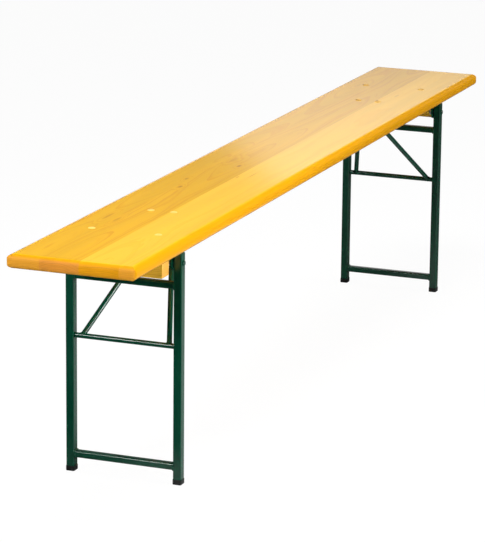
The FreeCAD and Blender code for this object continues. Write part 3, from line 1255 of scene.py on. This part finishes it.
@dataclass
class Studio:
    """The camera, the floor, the lamps and the glowing boards that paint the reflections."""

    camera_place: Point = (-5.62871, -2.1298, 1.75457)
    heading: float = 21.3174
    pitch: float = 14.3546
    roll: float = 0.5895
    lens: float = 199.613
    sensor_width: float = 36.0
    clip_end: float = 60.0
    fill_level: float = 0.11
    paper_half: float = 30.0
    paper_drop: float = 0.0002
    paper_shade: float = 0.82
    paper_glow: float = 1.03
    paper_glow_share: float = 0.93
    room_radius: float = 14.0
    room_height: float = 9.0
    room_lift: float = 0.001
    room_faces: int = 40
    window_left: float = 39.0
    window_width: float = 54.0
    window_base: float = 0.01
    window_top: float = 5.0
    window_foot: Point = (12.994, 5.212, 3.417)
    window_shoulder: Point = (13.11, 4.912, 3.701)
    seat_middle: Point = (0.0, 0.0, 0.468)
    # The boards' glow, a painted reflection: levels and limits of its wall band and ground strip.
    wall_level: float = 0.17
    wall_rise: tuple[float, float] = (0.2, 2.0)
    wall_fade: tuple[float, float] = (4.3, 4.8)
    ground_front: float = 0.6
    ground_rear: float = 0.12
    ground_far_share: float = 0.15
    ground_split: tuple[float, float] = (-0.04, 0.08)
    ground_near_end: tuple[float, float] = (-1.0, -0.85)
    ground_far_end: tuple[float, float] = (0.6, 0.9)
    ground_top: tuple[float, float] = (0.02, 0.01)
    lamps: tuple[SoftBox, ...] = (
        SoftBox("left_box", (-2.41, 0.77, 1.49), (-0.76, -0.2, 0.38), 0.45, 2.7, 50.0),
        SoftBox("near_front_box", (-0.9, -2.2, 0.9), (-0.9, 0.0, 0.42), 0.8, 7.6, 70.0),
        SoftBox("far_front_box", (0.95, -2.2, 0.9), (0.85, 0.0, 0.42), 0.4, 22.0),
        SoftBox("top_box", (-0.28, 0.1, 2.7), (-0.25, 0.0, 0.45), 1.2, 58.0),
    )

    def build(self) -> None:
        """Set up the whole studio."""
        bpy.context.scene.view_settings.view_transform = "Standard"
        self._camera()
        self._floor()
        self._world()
        for lamp in self.lamps:
            lamp.build()
        self._boards()

    def _camera(self) -> None:
        """Put the camera where the photograph was taken from."""
        data = bpy.data.cameras.new("camera")
        data.lens = self.lens
        data.sensor_width = self.sensor_width
        data.clip_end = self.clip_end
        camera = add_object("camera", data)
        turn = Matrix.Rotation(math.radians(self.heading - 90), 4, "Z")
        tip = Matrix.Rotation(math.radians(90 - self.pitch), 4, "X")
        lean = Matrix.Rotation(math.radians(self.roll), 4, "Z")
        camera.matrix_world = Matrix.Translation(self.camera_place) @ turn @ tip @ lean
        bpy.context.scene.camera = camera

    def _seen(self, graph: Graph) -> Wire:
        """Tell the rays that see the backdrop from those that light the object.

        Args:
            graph: The graph that asks.

        Returns:
            One for camera, glossy and transmission rays, nothing for the others.
        """
        path = graph.node("ShaderNodeLightPath")
        names = ("Is Camera Ray", "Is Glossy Ray", "Is Transmission Ray")
        camera, glossy, clear = (Wire(graph, path.outputs[name]) for name in names)
        return graph.maths("MAXIMUM", graph.maths("MAXIMUM", camera, glossy), clear)

    def _floor(self) -> None:
        """Lay white paper that still takes a soft shadow."""
        shade = (self.paper_shade, self.paper_shade, self.paper_shade)
        material, graph = new_graph("floor_paper")
        matt = graph.wire("ShaderNodeBsdfDiffuse", None, {"Color": shade})
        glow = graph.wire(
            "ShaderNodeEmission", None, {"Color": WHITE, "Strength": self.paper_glow}
        )
        share = self._seen(graph) * self.paper_glow_share
        graph.close(graph.wire("ShaderNodeMixShader", None, {0: share, 1: matt, 2: glow}))
        mesh = bmesh.new()
        bmesh.ops.create_grid(mesh, x_segments=1, y_segments=1, size=self.paper_half)
        floor = add_mesh("floor", mesh, material)
        floor.location.z = -self.paper_drop

    def _world(self) -> None:
        """Fill the studio with soft light in front of a white backdrop."""
        world = bpy.data.worlds.new("studio")
        bpy.context.scene.world = world
        world.use_nodes = True
        graph = Graph(world.node_tree)
        fill, backdrop = (
            graph.wire("ShaderNodeBackground", None, {"Color": WHITE, "Strength": strength})
            for strength in (self.fill_level, 1.0)
        )
        shader = {0: self._seen(graph), 1: fill, 2: backdrop}
        graph.close(graph.wire("ShaderNodeMixShader", None, shader), "World")

    def _boards(self) -> None:
        """Stand boards all round and under the set, with one opening on the white backdrop.

        Only reflections see them, and they glow though they are no lamps: a painted reflection.
        The backdrop shows in the lacquer of the far half of the seat, and the tubes mirror a
        ground whose painted glow is dark round the near end and brighter along the front.
        """
        mesh = bmesh.new()
        lift = Matrix.Translation((0.0, 0.0, self.room_height / 2 + self.room_lift))
        bmesh.ops.create_cone(
            mesh, cap_ends=True, segments=self.room_faces, radius1=self.room_radius,
            radius2=self.room_radius, depth=self.room_height,
            matrix=lift @ Matrix.Rotation(math.radians(self.window_left), 4, "Z"),
        )
        for point, normal in (
            (Vector((0.0, 0.0, self.window_top)), Vector((0.0, 0.0, 1.0))),
            (Vector(self.seat_middle), self._slant()),
        ):
            bmesh.ops.bisect_plane(
                mesh, geom=mesh.verts[:] + mesh.edges[:] + mesh.faces[:], plane_co=point,
                plane_no=normal,
            )
        opening = [face for face in mesh.faces if self._is_opening(face)]
        bmesh.ops.delete(mesh, geom=opening, context="FACES")
        # The boards' glow is a painted reflection, seen only by glossy rays.
        boards = add_mesh("reflection_glow_boards", mesh, self._painted_reflection_glow())
        for kind in ("camera", "diffuse", "shadow", "transmission"):
            setattr(boards, f"visible_{kind}", False)

    def _painted_reflection_glow(self) -> bpy.types.Material:
        """Make the glow of the boards, a painted reflection: wall band and bright ground strip.

        Returns:
            The new material.
        """
        material, graph = new_graph("painted_reflection_glow_board")
        x, y, height = graph.split(graph.place())
        wall = graph.step(height, *self.wall_rise, 0.0, self.wall_level)
        wall = wall * graph.step(height, *self.wall_fade, 1.0, 0.0)
        rear_line, front_line = self.ground_split
        far_level = self.ground_front * self.ground_far_share
        front = graph.step(y, front_line, rear_line)
        front = front * graph.step(x, *self.ground_far_end, self.ground_front, far_level)
        rear = graph.step(y, rear_line, front_line, 0.0, self.ground_rear)
        ground = (front + rear) * graph.step(x, *self.ground_near_end)
        ground = ground * graph.step(height, *self.ground_top)
        # The glow's strength is the painted reflection: the wall band plus the ground strip.
        dim = {"Color": WHITE, "Strength": wall + ground}
        graph.close(graph.wire("ShaderNodeEmission", None, dim))
        return material

    def _slant(self) -> Vector:
        """Give the normal of the plane through the seat's middle and the opening's slanting side.

        Returns:
            The normal, which points to the opening.
        """
        middle = Vector(self.seat_middle)
        foot = Vector(self.window_foot) - middle
        return foot.cross(Vector(self.window_shoulder) - middle).normalized()

    def _is_opening(self, face: bmesh.types.BMFace) -> bool:
        """Tell whether a face of the boards lies in the opening.

        Args:
            face: The face.

        Returns:
            True for a face of the wall between the opening's sides.
        """
        centre = face.calc_center_median()
        away = (self.window_left - math.degrees(math.atan2(centre.y, centre.x))) % 360
        on_wall = self.window_base <= centre.z < self.window_top
        inside = self._slant().dot(centre - Vector(self.seat_middle)) > 0
        return on_wall and away < self.window_width and inside


# ---------------------------------------------------------------- main


def main() -> None:
    """Load the frame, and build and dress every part."""
    logging.basicConfig(level=logging.INFO, format="%(name)s: %(message)s")
    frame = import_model()
    nodes = frame["nodes"]
    Studio().build()
    Seat(nodes).dress()
    zinc = BareMetal("zinc_plate", tone(196, 200, 200), tone(150, 155, 158), 0.45, 0.7)
    bright = BareMetal("bright_heads", tone(238, 190, 92), tone(230, 178, 84), 0.5, 0.1)
    spring = BareMetal("spring_steel", tone(92, 98, 108), tone(64, 68, 78), 0.3)
    nylon = MouldedPlastic("black_nylon", tone(34, 35, 36), 0.45)
    plastic = MouldedPlastic("black_caps", tone(30, 33, 32), 0.5).material()
    paint = PaintedSteel("green_powder_coat").material()
    metals = {
        "zinc": zinc.material(), "bright": bright.material(), "spring": spring.material(),
        "nylon": nylon.material(), "paint": paint,
    }
    for end in ENDS:
        fittings = Fittings(nodes, end, **metals)
        fittings.dress()
        fittings.build()
        leg = LegFrame(nodes, end, paint, plastic)
        leg.dress()
        leg.build()


if __name__ == "__main__":
    main()
